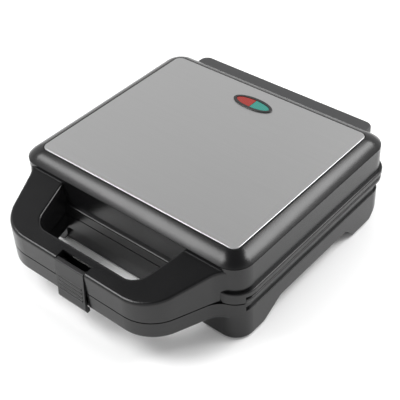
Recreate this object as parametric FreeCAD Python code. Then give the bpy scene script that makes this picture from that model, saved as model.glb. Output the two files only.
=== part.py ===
"""Panini press: a hinged lid with a sloped U handle over a base on four feet, held shut by a front latch.

Millimetres, +Z up, +X to the user's right, -Y towards the user. The origin is on the table, under the
middle of the closed press.
"""
import FreeCAD, Part
import math
import os

# ---------------------------------------------------------------- driving dimensions
# Body, seen from above
body_width = 270.8
body_depth = 234.4
body_corner = 20.0
wall = 2.5
handle_reach = 67.0             # body front to the face of the handle
latch_proud = 3.8               # latch face in front of the handle face
hinge_cover_depth = 16.0        # body back to the back of the hinge cover

# Levels above the table
foot_pad_proud = 1.5            # rubber below the plastic of a leg
leg_drop = 16.0                 # side walls between the legs end this far above the leg ends
base_wall_height = 18.0
band_height = 17.5
parting_gap = 2.5
flange_height = 6.0
lid_wall_height = 26.2
cover_seam = 0.5                # dark line between lid housing and top cover
shoulder_drop = 8.6
plate_proud = 0.6

# Base
floor_thickness = 2.5
bead_proud = 2.6                # rim bead in front of the lid wall line
bead_height = 4.5
bead_round = 1.4
cove_inset = 2.8                # dark groove under the bead, behind the lid wall line
cove_wall = 2.1
base_wall_inset = 0.7           # lower wall behind the lid wall line
base_wall_round = 0.8
flange_proud = 3.2              # lid flange in front of the lid wall line
flange_round = 1.5
heel_wall = 3.75
block_lap = 1.5                 # front block reaches this far below the dark groove
front_leg_length = 31.0
rear_leg_length = 51.0
leg_width = 42.0
front_arch_slant = 30.0         # run of the sloped end of the arch at a front leg
rear_arch_slant = 15.0
middle_arch_slant = 12.0        # the same, seen from the front
arch_round = 10.0
leg_round = 2.5
heel_length = 27.0              # the back of a rear leg slopes up over this length
heel_height = 27.0
corner_block_depth = 9.0        # front block of the base wraps this far round the corners
block_gap = 0.8
toe_depth = 5.5                 # recessed panel low in the front wall, between the front legs
toe_inset = 52.0                # body side to the end of the panel
toe_top = 25.5
toe_bottom = 3.0
toe_corner = 6.0

# Lid top
shoulder_width = 15.4
shoulder_outer_slope = 47.0     # the shoulder is an arc, steepest at its outer edge
shoulder_sections = 4
plate_corner = 7.5
plate_reveal = 0.7
cover_rim = 0.8
cover_lip = 4.0
cover_lip_thickness = 1.6
cover_lip_root = 1.2
cover_wall = 2.75
cover_deck = 2.4
trim_thickness = 0.8
trim_height = 2.0
trim_round = 0.7

# Handle, lid and base halves together
handle_root_inset = 18.4        # body side to the outer face of an arm, at the body
handle_taper = 22.5
handle_corner = 40.0
handle_flare = 24.0             # hollow curve from an arm into the body's corner
flare_overlap = 0.2             # the flare ends this far inside the body's corner
opening_root_inset = 60.4
opening_taper = 15.0
opening_corner = 18.0
grip_depth = 18.5
handle_root_drop = 3.2          # arm top below the shoulder edge
handle_slope = 10.9
handle_parting = 50.0           # lid half ends here; the base half starts one gap lower
handle_gap = 1.2
handle_bottom = 31.0
grip_round = 3.0
rim_round = 2.6
handle_wall = 2.5

# Latch
latch_width = 35.0
latch_side_gap = 0.8
latch_thickness = 3.4
latch_play = 1.2
latch_bottom = 25.5
latch_top_drop = 0.6
latch_ridges = 4
latch_ridge_pitch = 4.6
latch_ridge_proud = 0.7
latch_ridge_width = 1.3
pocket_depth = 10.6             # open-topped recess behind the latch's head
pocket_below_pivot = 9.0
cheek_margin = 2.0              # recess side walls around the pivot eyes
lining_setback = 0.8
lining_lift = 0.5
lining_below_top = 0.4
pivot_back = 6.5                # pivot axis behind the handle face
pivot_drop = 8.5                # pivot axis below the handle top, measured at the face
pivot_pin_radius = 1.5
pivot_eye_radius = 3.0
pivot_eye_width = 5.0
running_clearance = 0.06
catch_gap = 0.3
catch_depth = 3.0
catch_height = 3.0
catch_side_gap = 2.0
hook_height = 0.78
latch_back_gap = 0.6            # back of the latch to the recess wall
latch_set_in = 0.6              # top of the latch face in front of the handle face
latch_top_slant = 1.0
latch_tip_height = 4.0
latch_tip_slant = 1.6
latch_tip_lift = 0.6
latch_knee_drop = 6.0
latch_neck = 1.0
latch_round = 0.9
ridge_end_gap = 3.0
ridge_start = 13.5

# Hinge
knuckle_bead_gap = 0.4          # knuckle to the base's rim bead
axis_below_band_top = 7.5
knuckle_radius = 5.4
hinge_pin_radius = 2.0
hinge_inset = 52.0              # body side to the middle of a hinge
ear_thickness = 4.0
ear_span = 22.0                 # outside to outside of the two base ears
bracket_plate = 2.0
bracket_width = 40.0
bracket_height = 10.0
bracket_screw_inset = 4.5
lid_bracket_foot_gap = 2.0       # above the lid flange
lid_bracket_head = 8.0           # above its screws
lid_screw_rise = 13.1            # screws above the lid flange
tongue_gap = 0.6
tongue_height = 12.0
tongue_share = 0.4               # tongue reaches this share of the knuckle radius past the axis
pin_proud = 0.6
pin_chamfer = 0.4
hinge_screw_head = 2.0
hinge_screw_reach = 2.0          # lid screw past the inside of the wall
knuckle_side_gap = 0.3
hinge_cover_inset = 26.4
hinge_cover_wall = 2.0
hinge_cover_corner = 9.0
hinge_cover_top_drop = 0.6
hinge_cover_round = 1.6
hinge_cover_gap = 0.3

# Cooking plates
plate_edge_gap = 1.0
slab = 4.0
plate_rim_width = 4.0
ledge_width = 8.0
plate_rim_below_parting = 0.8
dish_depth = 7.0
rib_height = 3.0
rib_pitch = 14.5
rib_top = 3.6
rib_root = 6.2
rib_sink = 0.5
boss_radius = 5.0
boss_inset_x = 48.0
boss_inset_y = 42.0
plate_boss_height = 6.0
plate_screw_radius = 1.9
screw_thread_gap = 0.05
screw_slip = 0.4
screw_head_radius = 3.8
screw_head_height = 2.6
screw_tip_gap = 1.0             # screw tip above the back of the plate
mating_gap = 0.2

# Heating elements, reflectors, controls
heater_radius = 3.2
heater_inset = 30.0
heater_bend = 15.6
heater_tail_spread = 30.0
heater_tail = 26.0
clamp_thickness = 1.0
clamp_width = 12.0
clamp_wing = 7.0
clamp_clearance = 0.3
clamp_seat_gap = 0.1
clamp_share = 0.5               # place of a clamp on half the side run
reflector_thickness = 0.6
reflector_gap = 10.5            # cooking plate back to reflector
reflector_lip = 5.0
reflector_inset = 9.0
reflector_hole_gap = 0.3
thermostat_radius = 8.0
thermostat_height = 7.0
thermostat_flange = 12.0
thermostat_tab = 1.2
thermostat_tab_width = 8.0
thermostat_y = 30.0
fuse_radius = 2.2
fuse_length = 28.0
fuse_gap = 8.0                  # thermostat body to the fuse
terminal_length = 34.0
terminal_depth = 16.0
terminal_height = 8.0
terminal_back = 40.0            # body back to the middle of the block
terminal_ways = 3
terminal_bore = 2.0

# Cord inlet
inlet_inset_x = 78.0
inlet_bore = 4.0
inlet_wall = 2.0
inlet_flange = 8.0
inlet_flange_thickness = 2.0
inlet_reach = 5.0
inlet_height = 26.4

# Indicator window in the steel trim
indicator_back = 24.5           # plate back edge to the window's middle
bezel_length = 47.0
bezel_width = 19.6
lens_length = 40.0
lens_width = 13.0
bezel_proud = 0.9
lens_proud = 0.5
lens_clearance = 0.15
bezel_depth = 9.5
lens_thickness = 2.6
lens_split = 0.6
lens_round = 0.5
bezel_flange = 1.5              # flange around the sleeve
bezel_round = 0.6
bezel_seat_gap = 0.05
bezel_hole_gap = 0.6            # bezel to the hole in the top cover
window_gap = 0.3                # sleeve to the window in the trim
sleeve_lap = 0.3
lamp_radius = 2.4
lamp_length = 13.0
lamp_drop = 1.0
lamp_end_round = 1.44
post_inset = 2.0
post_width = 1.6
post_depth = 4.0
holder_thickness = 1.6

# Feet
foot_radius = 7.5
foot_inset_x = 16.0
front_foot_inset = 15.0
rear_foot_inset = 38.0
foot_seat = 2.0
foot_round = 0.6

# Making
overlap = 1.0                   # joined blocks reach into each other, and cutters past a face, by this much
past = 5.0                      # longer reach of a cutter that opens a face
through = 20.0                  # reach of a cutter through a whole wall or over a slope
near = 0.5                      # tolerance when edges are picked

# ---------------------------------------------------------------- derived levels and places
V = FreeCAD.Vector

overall_depth = latch_proud + handle_reach + body_depth + hinge_cover_depth
front_y = -overall_depth / 2
grip_y = front_y + latch_proud
body_front = grip_y + handle_reach
body_back = body_front + body_depth
body_mid = (body_front + body_back) / 2

leg_z = foot_pad_proud
arch_z = leg_z + leg_drop
band_z = arch_z + base_wall_height
band_top = band_z + band_height
lid_z = band_top + parting_gap
flange_top = lid_z + flange_height
housing_top = flange_top + lid_wall_height
cover_z = housing_top + cover_seam
cover_top = cover_z + shoulder_drop
trim_top = cover_top + plate_proud
trim_z = trim_top - trim_height
floor_top = arch_z + floor_thickness

trim_width = body_width - 2 * shoulder_width
trim_depth = body_depth - 2 * shoulder_width - 0.1
indicator_y = body_mid + trim_depth / 2 - indicator_back
inlet_x = body_width / 2 - inlet_inset_x
sleeve_length = bezel_length - 2 * bezel_flange
sleeve_width = bezel_width - 2 * bezel_flange
lamp_z = trim_top + lens_proud - lens_thickness - lamp_drop - lamp_radius
screw_seat_z = floor_top + overlap

axis_y = body_back + bead_proud + knuckle_radius + knuckle_bead_gap
axis_z = band_top - axis_below_band_top
hinge_x = body_width / 2 - hinge_inset

room_inset = cove_inset + cove_wall
plate_width = body_width - 2 * room_inset - 2 * plate_edge_gap
plate_depth = body_depth - 2 * room_inset - 2 * plate_edge_gap
plate_plan_corner = body_corner - room_inset - plate_edge_gap
cove_y = body_back - cove_inset
bracket_z = (band_z + band_top - bead_height) / 2
lid_screw_z = flange_top + lid_screw_rise
lower_rim_z = band_top - plate_rim_below_parting
lower_face_z = lower_rim_z - dish_depth
lower_back_z = lower_face_z - slab
upper_rim_z = lid_z + plate_rim_below_parting
upper_face_z = upper_rim_z + dish_depth
upper_back_z = upper_face_z + slab
boss_x = plate_width / 2 - boss_inset_x
boss_y = plate_depth / 2 - boss_inset_y
boss_points = [(sx * boss_x, body_mid + sy * boss_y) for sx in (-1, 1) for sy in (-1, 1)]

base_handle_top = handle_parting - handle_gap
arm_top = housing_top - handle_root_drop
grip_top = arm_top - handle_reach * math.tan(math.radians(handle_slope))
pivot_y = grip_y + pivot_back
pivot_z = grip_top - pivot_drop + pivot_back * math.tan(math.radians(handle_slope))


# ---------------------------------------------------------------- shape helpers
def rounded_wire(width, depth, corner, z, mid_y=None):
    """Closed wire of a rectangle with round corners, counter-clockwise from the front-left corner."""
    mid_y = body_mid if mid_y is None else mid_y
    hx = width / 2
    hy = depth / 2
    bulge = corner * (1 - math.sqrt(0.5))
    edges = []
    for sx, sy in ((1, -1), (1, 1), (-1, 1), (-1, -1)):
        corner_at = V(sx * hx, mid_y + sy * hy, z)
        along_x = V(-sx * corner, 0, 0)
        along_y = V(0, -sy * corner, 0)
        first = corner_at + (along_x if sx * sy < 0 else along_y)
        last = corner_at + (along_y if sx * sy < 0 else along_x)
        middle = corner_at + V(-sx * bulge, -sy * bulge, 0)
        edges.append((first, middle, last))
    lines = []
    for index, (first, middle, last) in enumerate(edges):
        lines.append(Part.Arc(first, middle, last).toShape())
        after = edges[(index + 1) % 4][0]
        lines.append(Part.LineSegment(last, after).toShape())
    return Part.Wire(lines)


def rounded_block(width, depth, corner, low, high, mid_y=None):
    """Upright block with round corners in plan, from one level to another."""
    face = Part.Face(rounded_wire(width, depth, corner, low, mid_y))
    return face.extrude(V(0, 0, high - low))


def box(x0, x1, y0, y1, z0, z1):
    """Plain block between two corners."""
    return Part.makeBox(x1 - x0, y1 - y0, z1 - z0, V(x0, y0, z0))


def rod(radius, start, end):
    """Round bar from one point to another."""
    along = end - start
    return Part.makeCylinder(radius, along.Length, start, along)


def polygon_block(points, direction):
    """Extrude a flat polygon, given as vectors, by a vector."""
    wire = Part.makePolygon(points + [points[0]])
    return Part.Face(wire).extrude(direction)


def round_edges(shape, radius, chosen):
    """Round the edges that the test picks."""
    picked = [edge for edge in shape.Edges if chosen(edge)]
    return shape.makeFillet(radius, picked)


def at_level(z, tolerance=0.01):
    """Edge test: the whole edge lies at one level."""
    return lambda edge: edge.BoundBox.ZMax - z < tolerance and z - edge.BoundBox.ZMin < tolerance


def joined(shapes):
    """Fuse a list of solids and merge their split faces."""
    first = shapes[0]
    return first.fuse(shapes[1:]).removeSplitter() if len(shapes) > 1 else first


def group(shapes):
    """Separate solids that share a node."""
    return Part.makeCompound(shapes)


def save(name, shape):
    """Write one node."""
    shape.exportStep("parts/%s.step" % name)


# ---------------------------------------------------------------- base
def arch_cutter():
    """Space under the base between the legs, seen from the side and from the front."""
    low = leg_z - 1
    front_end = body_front + front_leg_length
    back_end = body_back - rear_leg_length
    side = [V(-body_width, front_end, low), V(-body_width, front_end + front_arch_slant, arch_z),
            V(-body_width, back_end - rear_arch_slant, arch_z), V(-body_width, back_end, low)]
    sideways = polygon_block(side, V(2 * body_width, 0, 0))
    sideways = round_edges(sideways, arch_round,
                           lambda edge: at_level(arch_z)(edge) and edge.BoundBox.XLength > near)
    half = body_width / 2 - leg_width
    start = body_front - body_depth
    across = [V(-half, start, low), V(-half + middle_arch_slant, start, arch_z),
              V(half - middle_arch_slant, start, arch_z), V(half, start, low)]
    lengthways = polygon_block(across, V(0, 3 * body_depth, 0))
    lengthways = round_edges(lengthways, arch_round,
                             lambda edge: at_level(arch_z)(edge) and edge.BoundBox.YLength > near)
    return sideways.fuse(lengthways)


def heel_cutter(shift):
    """Space behind the sloped backs of the two rear legs, moved forwards by a wall where asked."""
    low = leg_z - 1
    far = body_back + 10
    blocks = []
    for side in (-1, 1):
        inner = side * (body_width / 2 - leg_width - middle_arch_slant - arch_round)
        points = [V(inner, body_back - heel_length - shift, low),
                  V(inner, body_back - shift, low + heel_height), V(inner, far, low + heel_height + shift),
                  V(inner, far, low)]
        blocks.append(polygon_block(points, V(side * body_width, 0, 0)))
    return blocks


def handle_outline(low, high, inset, proud):
    """Block with the handle's outer outline, blended into the body's front corners.

    The flare is tangent to the arm's side and runs into the round corner of a body outline that stands
    proud of the lid wall by the given amount.
    """
    tilt = math.radians(handle_taper)
    root_x = body_width / 2 - handle_root_inset - inset / math.cos(tilt)
    side_way = V(math.sin(tilt), math.cos(tilt), 0)
    outward = V(math.cos(tilt), -math.sin(tilt), 0)
    corner = handle_corner - inset
    front = grip_y + inset
    front_x = root_x - (body_front - front) * math.tan(tilt)
    run = corner * math.tan((math.pi / 2 - tilt) / 2)
    reach = body_corner + proud - inset - flare_overlap
    flare = handle_flare + inset
    middle = V(body_width / 2 - body_corner, body_front + body_corner, 0)
    on_line = V(root_x, body_front, 0) + outward * flare - middle
    along = on_line.dot(side_way)
    away = on_line.dot(on_line) - (reach + flare) ** 2
    flare_centre = middle + on_line - side_way * (along + math.sqrt(along ** 2 - away))
    edges = []
    for sx in (1, -1):
        def point(place):
            return V(sx * place.x, place.y, low)
        vertex = V(front_x, front, 0)
        on_front = vertex - V(run, 0, 0)
        on_side = vertex + side_way * run
        centre = on_front + V(0, corner, 0)
        bend = centre + (vertex - centre).normalize() * corner
        flare_start = flare_centre - outward * flare
        flare_end = middle + (flare_centre - middle).normalize() * reach
        flare_middle = flare_centre + ((flare_start + flare_end) * 0.5 - flare_centre).normalize() * flare
        inside = V(flare_end.x, body_front + body_corner, 0)
        half = [Part.Arc(point(on_front), point(bend), point(on_side)).toShape(),
                Part.LineSegment(point(on_side), point(flare_start)).toShape(),
                Part.Arc(point(flare_start), point(flare_middle), point(flare_end)).toShape(),
                Part.LineSegment(point(flare_end), point(inside)).toShape()]
        edges.append(half)
        ends = (on_front.x, inside.x)
    right, left = edges
    bridge = Part.LineSegment(V(-ends[0], front, low), V(ends[0], front, low)).toShape()
    back = Part.LineSegment(V(ends[1], body_front + body_corner, low),
                            V(-ends[1], body_front + body_corner, low)).toShape()
    wire = Part.Wire([bridge] + right + [back] + left[::-1])
    return Part.Face(wire).extrude(V(0, 0, high - low))


def finger_opening(low, high, grow):
    """Block with the outline of the hole between the arms, the grip and the body."""
    slope = math.tan(math.radians(opening_taper))
    front = grip_y + grip_depth - grow
    root_x = body_width / 2 - opening_root_inset + grow
    back = body_front + overlap
    corner = opening_corner + grow
    front_x = root_x - (body_front - front) * slope
    back_x = root_x + overlap * slope
    run = corner * math.tan(math.radians(90 - opening_taper) / 2)
    way = V(math.sin(math.radians(opening_taper)), math.cos(math.radians(opening_taper)), 0)
    points = []
    for sx in (1, -1):
        vertex = V(sx * front_x, front, low)
        on_front = vertex + V(-sx * run, 0, 0)
        on_side = vertex + V(sx * way.x * run, way.y * run, 0)
        centre = on_front + V(0, corner, 0)
        out = (vertex - centre).normalize()
        points.append((V(sx * back_x, back, low), on_side, centre + out * corner, on_front))
    right, left = points
    wire = Part.Wire([
        Part.LineSegment(right[0], right[1]).toShape(),
        Part.Arc(right[1], right[2], right[3]).toShape(),
        Part.LineSegment(right[3], left[3]).toShape(),
        Part.Arc(left[3], left[2], left[1]).toShape(),
        Part.LineSegment(left[1], left[0]).toShape(),
        Part.LineSegment(left[0], right[0]).toShape()])
    return Part.Face(wire).extrude(V(0, 0, high - low))


def base_handle():
    """Lower half of the handle: a channel open upwards, closed below."""
    low = handle_bottom
    high = base_handle_top
    opening = finger_opening(low - overlap, high + overlap, 0)
    solid = handle_outline(low, high, 0, flange_proud).cut(opening)
    front_of_body = body_front - flange_proud - overlap
    picked = [edge for edge in solid.Edges if at_level(low)(edge) and edge.BoundBox.YMin < front_of_body and
              not is_opening_back(edge)]
    solid = solid.makeFillet(rim_round, picked)
    channel = handle_outline(low + handle_wall, high + overlap, handle_wall, 0)
    channel = channel.cut(finger_opening(low, high + 2 * overlap, handle_wall))
    behind = box(-body_width, body_width, body_front - flange_proud - handle_wall, body_mid, 0, housing_top)
    return solid.cut(channel.cut(behind))


def is_opening_back(edge):
    """Edge test: the edge runs along the body, behind the finger opening."""
    return edge.BoundBox.YMin > body_front - near


def latch_pocket(low, high):
    """Recess for the latch plate in the middle of the handle face."""
    half = latch_width / 2 + latch_side_gap
    return box(-half, half, grip_y - past, grip_y + latch_recess(), low, high)


def latch_recess():
    """Depth of the recess behind the handle face that the latch plate lies in."""
    return latch_thickness + latch_play


def base_body():
    """Walls of the base: rim bead, dark groove, lower wall on its legs, and the block at the front."""
    bead_z = band_top - bead_height
    bead = outline_block(-bead_proud, bead_z, band_top)
    bead = round_edges(bead, bead_round, lambda edge: at_level(band_top)(edge) or at_level(bead_z)(edge))
    cove = outline_block(cove_inset, band_z - overlap, bead_z + overlap)
    lower = outline_block(base_wall_inset, leg_z, band_z)
    lower = round_edges(lower, base_wall_round, at_level(band_z))
    lower = lower.cut([arch_cutter()] + heel_cutter(0))
    lower = round_edges(lower, leg_round, at_level(leg_z))
    block = outline_block(-flange_proud, band_z - block_lap, base_handle_top).common(front_zone(0, 0))
    above = front_zone(block_gap, base_handle_top)
    rim = joined([bead, cove]).cut(above)
    return joined([rim, lower, block, base_handle(), toe_panel()]).cut(toe_recess())


def front_zone(gap, low):
    """Space around the front of the body, back to the end of the corner blocks and a gap more."""
    return box(-body_width, body_width, body_front - through, body_front + corner_block_depth + gap, low,
               housing_top)


def outline_block(inset, low, high):
    """Block with the body's outline, drawn in by an inset."""
    return rounded_block(body_width - 2 * inset, body_depth - 2 * inset, body_corner - inset, low, high)


def toe_panel():
    """Panel set back between the front legs, from just above the table to the inside of the floor."""
    half = body_width / 2 - leg_width + overlap
    face = body_front + base_wall_inset + toe_depth
    return box(-half, half, face, face + wall, toe_bottom, floor_top + wall)


def toe_recess():
    """Space in front of the recessed panel."""
    half = body_width / 2 - toe_inset
    face = body_front + base_wall_inset + toe_depth
    space = box(-half, half, body_front - past, face, leg_z, toe_top)
    corners = [edge for edge in space.Edges if edge.BoundBox.YLength > near and
               edge.BoundBox.ZMin > toe_top - near]
    return space.makeFillet(toe_corner, corners)


def base_room():
    """Inside of the base, above the floor, clear of the heels and of the recessed panel."""
    upper = outline_block(room_inset, band_z, band_top + overlap)
    lower = outline_block(base_wall_inset + wall, floor_top, band_z - wall)
    middle = outline_block(room_inset, band_z - wall - overlap, band_z + overlap)
    half = body_width / 2 - toe_inset + wall
    face = body_front + base_wall_inset + toe_depth
    keep = box(-half, half, body_front - past, face + wall, 0, toe_top + wall)
    return upper.fuse([lower.cut(heel_cutter(heel_wall)), middle]).cut(keep)


def base_shell():
    """Base moulding: walls, legs, floor, bosses and the lower half of the handle."""
    solid = base_body().cut(base_room())
    bosses = [rod(boss_radius, V(x, y, arch_z), V(x, y, lower_back_z - plate_boss_height - mating_gap))
              for x, y in boss_points]
    solid = solid.fuse(bosses)
    holes = []
    for x, y in boss_points:
        holes.append(rod(plate_screw_radius + screw_slip, V(x, y, 0), V(x, y, lower_back_z)))
        holes.append(rod(screw_head_radius + screw_slip, V(x, y, 0), V(x, y, screw_seat_z)))
    for x, y in foot_points():
        holes.append(rod(foot_radius + mating_gap, V(x, y, 0), V(x, y, leg_z + foot_seat)))
    holes.append(latch_pocket(0, base_handle_top + overlap))
    holes.append(rod(inlet_bore + inlet_wall + mating_gap, V(inlet_x, body_back - through, inlet_height),
                     V(inlet_x, body_back + through, inlet_height)))
    holes += hinge_screw_holes(bracket_z, body_back - through, body_back + through)
    solid = solid.cut(holes)
    lining = latch_lining(handle_bottom, base_handle_top)
    half = latch_width / 2 - catch_side_gap
    catch = box(-half, half, grip_y + latch_recess() - catch_depth, grip_y + latch_recess() + overlap,
                handle_bottom, handle_bottom + catch_height)
    return solid.fuse([lining, catch]).removeSplitter()


def latch_lining(low, high):
    """Back and side walls of the latch recess inside the handle channel."""
    half = latch_width / 2 + latch_side_gap
    outer = box(-half - handle_wall, half + handle_wall, grip_y + lining_setback,
                grip_y + latch_recess() + handle_wall, low + lining_lift, high)
    return outer.cut(latch_pocket(low - overlap, high + overlap))


def foot_points():
    """Middles of the four feet."""
    half_x = body_width / 2 - base_wall_inset - foot_inset_x
    rows = (body_front + front_foot_inset, body_back - rear_foot_inset)
    return [(sx * half_x, y) for y in rows for sx in (-1, 1)]


def foot(x, y):
    """Rubber pad pressed into the end of a leg."""
    pad = rod(foot_radius, V(x, y, 0), V(x, y, leg_z + foot_seat))
    return round_edges(pad, foot_round, at_level(0))


def cord_inlet_bush():
    """Flanged bush in the back wall that the supply cord passes through."""
    y = body_back - base_wall_inset
    back = y + inlet_flange_thickness
    inside = y - wall - inlet_reach
    tube = rod(inlet_bore + inlet_wall, V(inlet_x, inside, inlet_height), V(inlet_x, back, inlet_height))
    flange = rod(inlet_flange, V(inlet_x, y, inlet_height), V(inlet_x, back, inlet_height))
    bore = rod(inlet_bore, V(inlet_x, inside - overlap, inlet_height),
               V(inlet_x, back + overlap, inlet_height))
    return tube.fuse(flange).cut(bore).removeSplitter()


# ---------------------------------------------------------------- lid
def housing_handle():
    """Upper half of the handle: sloped on top, a channel open downwards."""
    high = housing_top + through
    opening = finger_opening(handle_parting - overlap, high + overlap, 0)
    solid = handle_outline(handle_parting, high, 0, 0).cut(opening)
    solid = solid.cut(above_slope(0))
    front = grip_y + grip_depth
    solid = solid.makeFillet(grip_round, [edge for edge in solid.Edges if is_outer_top(edge)])
    solid = solid.makeFillet(rim_round, [edge for edge in solid.Edges if is_rim_top(edge, front)])
    channel = handle_outline(handle_parting - overlap, high, handle_wall, 0)
    channel = channel.cut(finger_opening(handle_parting - 2 * overlap, high + overlap, handle_wall))
    channel = channel.cut(above_slope(handle_wall))
    behind = box(-body_width, body_width, body_front - flange_proud - handle_wall, body_mid, 0, high)
    return solid.cut(channel.cut(behind))


def above_slope(below):
    """Everything above the sloped top of the arms and the grip, lowered by a wall."""
    drop = math.tan(math.radians(handle_slope))
    start = body_front + through
    end = grip_y - through
    lower = below / math.cos(math.radians(handle_slope))
    z_start = arm_top + (start - body_front) * drop - lower
    z_end = arm_top - (body_front - end) * drop - lower
    above = housing_top + 3 * through
    points = [V(-body_width, start, z_start), V(-body_width, end, z_end),
              V(-body_width, end, above), V(-body_width, start, above)]
    return polygon_block(points, V(2 * body_width, 0, 0))


def on_slope(edge):
    """Edge test: both ends and the middle lie on the sloped top."""
    drop = math.tan(math.radians(handle_slope))
    ends = [vertex.Point for vertex in edge.Vertexes]
    return all(abs(point.z - arm_top + (body_front - point.y) * drop) < 0.02 for point in ends)


def is_outer_top(edge):
    """Edge test: top edge of the handle's outer outline, the flares included."""
    if not on_slope(edge) or edge.BoundBox.YMin > body_front + 0.5 * body_corner:
        return False
    centre = edge.CenterOfMass
    slope = math.tan(math.radians(handle_taper))
    limit = body_width / 2 - handle_root_inset - (body_front - centre.y) * slope
    on_side = abs(centre.x) > limit - 3 * near and edge.BoundBox.YLength > near
    return on_side or edge.BoundBox.YMin < grip_y + near


def is_rim_top(edge, front):
    """Edge test: top edge of the finger opening."""
    if not on_slope(edge) or edge.BoundBox.YMin > body_front - past:
        return False
    inside = edge.BoundBox.YMin > front - near
    slope = math.tan(math.radians(opening_taper))
    centre = edge.CenterOfMass
    limit = body_width / 2 - opening_root_inset - (body_front - centre.y) * slope + past * near
    return inside and abs(centre.x) < limit


def lid_housing():
    """Lid moulding: outer wall with its flange, the plate ledge, and the upper half of the handle."""
    ring = outline_block(0, lid_z, housing_top)
    flange = outline_block(-flange_proud, lid_z, flange_top)
    flange = round_edges(flange, flange_round,
                         lambda edge: at_level(flange_top)(edge) or at_level(lid_z)(edge))
    skirt = outline_block(-flange_proud, handle_parting, lid_z + flange_round).common(front_zone(0, 0))
    solid = joined([ring, flange, skirt, housing_handle()])
    solid = solid.cut(outline_block(wall, handle_parting - overlap, housing_top + overlap))
    ledge_z = upper_back_z + mating_gap
    ledge = outline_block(wall / 2, ledge_z, ledge_z + wall)
    ledge = ledge.cut(outline_block(wall + ledge_width, ledge_z - overlap, ledge_z + wall + overlap))
    solid = solid.fuse(ledge)
    solid = solid.cut([latch_pocket(0, housing_top + past), upper_pocket()])
    solid = solid.cut(hinge_screw_holes(lid_screw_z, body_back - through, body_back + through))
    below_top = above_slope(lining_below_top)
    lining = latch_lining(handle_parting, grip_top + through).cut([below_top, upper_pocket()])
    cheeks = []
    for side in (-1, 1):
        inner = side * (latch_width / 2 + latch_side_gap)
        outer = inner + side * handle_wall
        low, high = sorted((inner, outer))
        around = pivot_eye_radius + cheek_margin
        cheeks.append(box(low, high, grip_y + overlap, pivot_y + around, pivot_z - around,
                          housing_top).cut(below_top))
    solid = solid.fuse([lining] + cheeks)
    pin_bore = rod(pivot_pin_radius + mating_gap / 4, V(-latch_width, pivot_y, pivot_z),
                   V(latch_width, pivot_y, pivot_z))
    return solid.cut(pin_bore).removeSplitter()


def upper_pocket():
    """Deeper part of the latch recess, open on top, that the latch's head turns in."""
    half = latch_width / 2 + latch_side_gap
    return box(-half, half, grip_y - past, grip_y + pocket_depth, pivot_z - pocket_below_pivot,
               housing_top + past)


def shoulder_wires(rim_width, rim_depth, rim_corner):
    """Outlines of the shoulder from its outer edge to its rim, along an arc that flattens inwards."""
    across = (body_width - rim_width) / 2
    chord = math.hypot(across, shoulder_drop)
    mean = math.atan2(shoulder_drop, across)
    outer_slope = math.radians(shoulder_outer_slope)
    radius = chord / (2 * math.sin(outer_slope - mean))
    wires = []
    for index in range(shoulder_sections + 1):
        slope = outer_slope - 2 * (outer_slope - mean) * index / shoulder_sections
        inset = radius * (math.sin(outer_slope) - math.sin(slope))
        rise = radius * (math.cos(slope) - math.cos(outer_slope))
        corner = body_corner + (rim_corner - body_corner) * inset / across
        depth = body_depth + (rim_depth - body_depth) * inset / across
        wires.append(rounded_wire(body_width - 2 * inset, depth, corner, cover_z + rise))
    return wires


def lid_top_cover():
    """Sloped shoulder around the steel trim, with the deck under it and bosses for the upper plate."""
    rim_width = trim_width + 2 * plate_reveal + 2 * cover_rim
    rim_depth = trim_depth + 2 * plate_reveal + 2 * cover_rim
    rim_corner = plate_corner + plate_reveal + cover_rim
    outer = Part.makeLoft(shoulder_wires(rim_width, rim_depth, rim_corner), True, False)
    deck_z = trim_z - mating_gap / 2
    under = deck_z - cover_deck
    share = (under - cover_z) / shoulder_drop
    under_width = body_width + (rim_width - body_width) * share - 2 * cover_wall
    under_depth = body_depth + (rim_depth - body_depth) * share - 2 * cover_wall
    mouth = rounded_wire(body_width - 2 * cover_wall, body_depth - 2 * cover_wall, body_corner - cover_wall,
                         cover_z)
    inner = Part.makeLoft([mouth, rounded_wire(under_width, under_depth, rim_corner, under)], True, True)
    solid = outer.cut(inner)
    lip_width = body_width - 2 * wall - 2 * mating_gap
    lip_depth = body_depth - 2 * wall - 2 * mating_gap
    lip = rounded_block(lip_width, lip_depth, body_corner - wall - mating_gap,
                        housing_top - cover_lip, cover_z + cover_lip_root)
    lip = lip.cut(outline_block(wall + mating_gap + cover_lip_thickness, housing_top - cover_lip - overlap,
                                cover_z + 2 * cover_lip_root))
    boss_low = upper_back_z + plate_boss_height + mating_gap
    bosses = [rod(boss_radius, V(x, y, boss_low), V(x, y, under + overlap))
              for x, y in boss_points]
    solid = solid.fuse([lip] + bosses)
    cuts = [rounded_block(trim_width + 2 * plate_reveal, trim_depth + 2 * plate_reveal,
                          plate_corner + plate_reveal, deck_z, cover_top + past)]
    for x, y in boss_points:
        cuts.append(rod(plate_screw_radius + screw_slip, V(x, y, upper_back_z), V(x, y, trim_top)))
        cuts.append(rod(screw_head_radius + screw_slip, V(x, y, under - overlap), V(x, y, trim_top)))
    cuts.append(oval(bezel_length, bezel_width, -bezel_depth - 2 * overlap, past, trim_top, bezel_hole_gap))
    return solid.cut(cuts).removeSplitter()


def oval(length, width, low, high, level, grow=0.0):
    """Upright elliptical block around the indicator's middle, from low to high about a level."""
    curve = Part.Ellipse(V(0, indicator_y, level + low), length / 2 + grow, width / 2 + grow)
    face = Part.Face(Part.Wire([curve.toShape()]))
    return face.extrude(V(0, 0, high - low))


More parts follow.
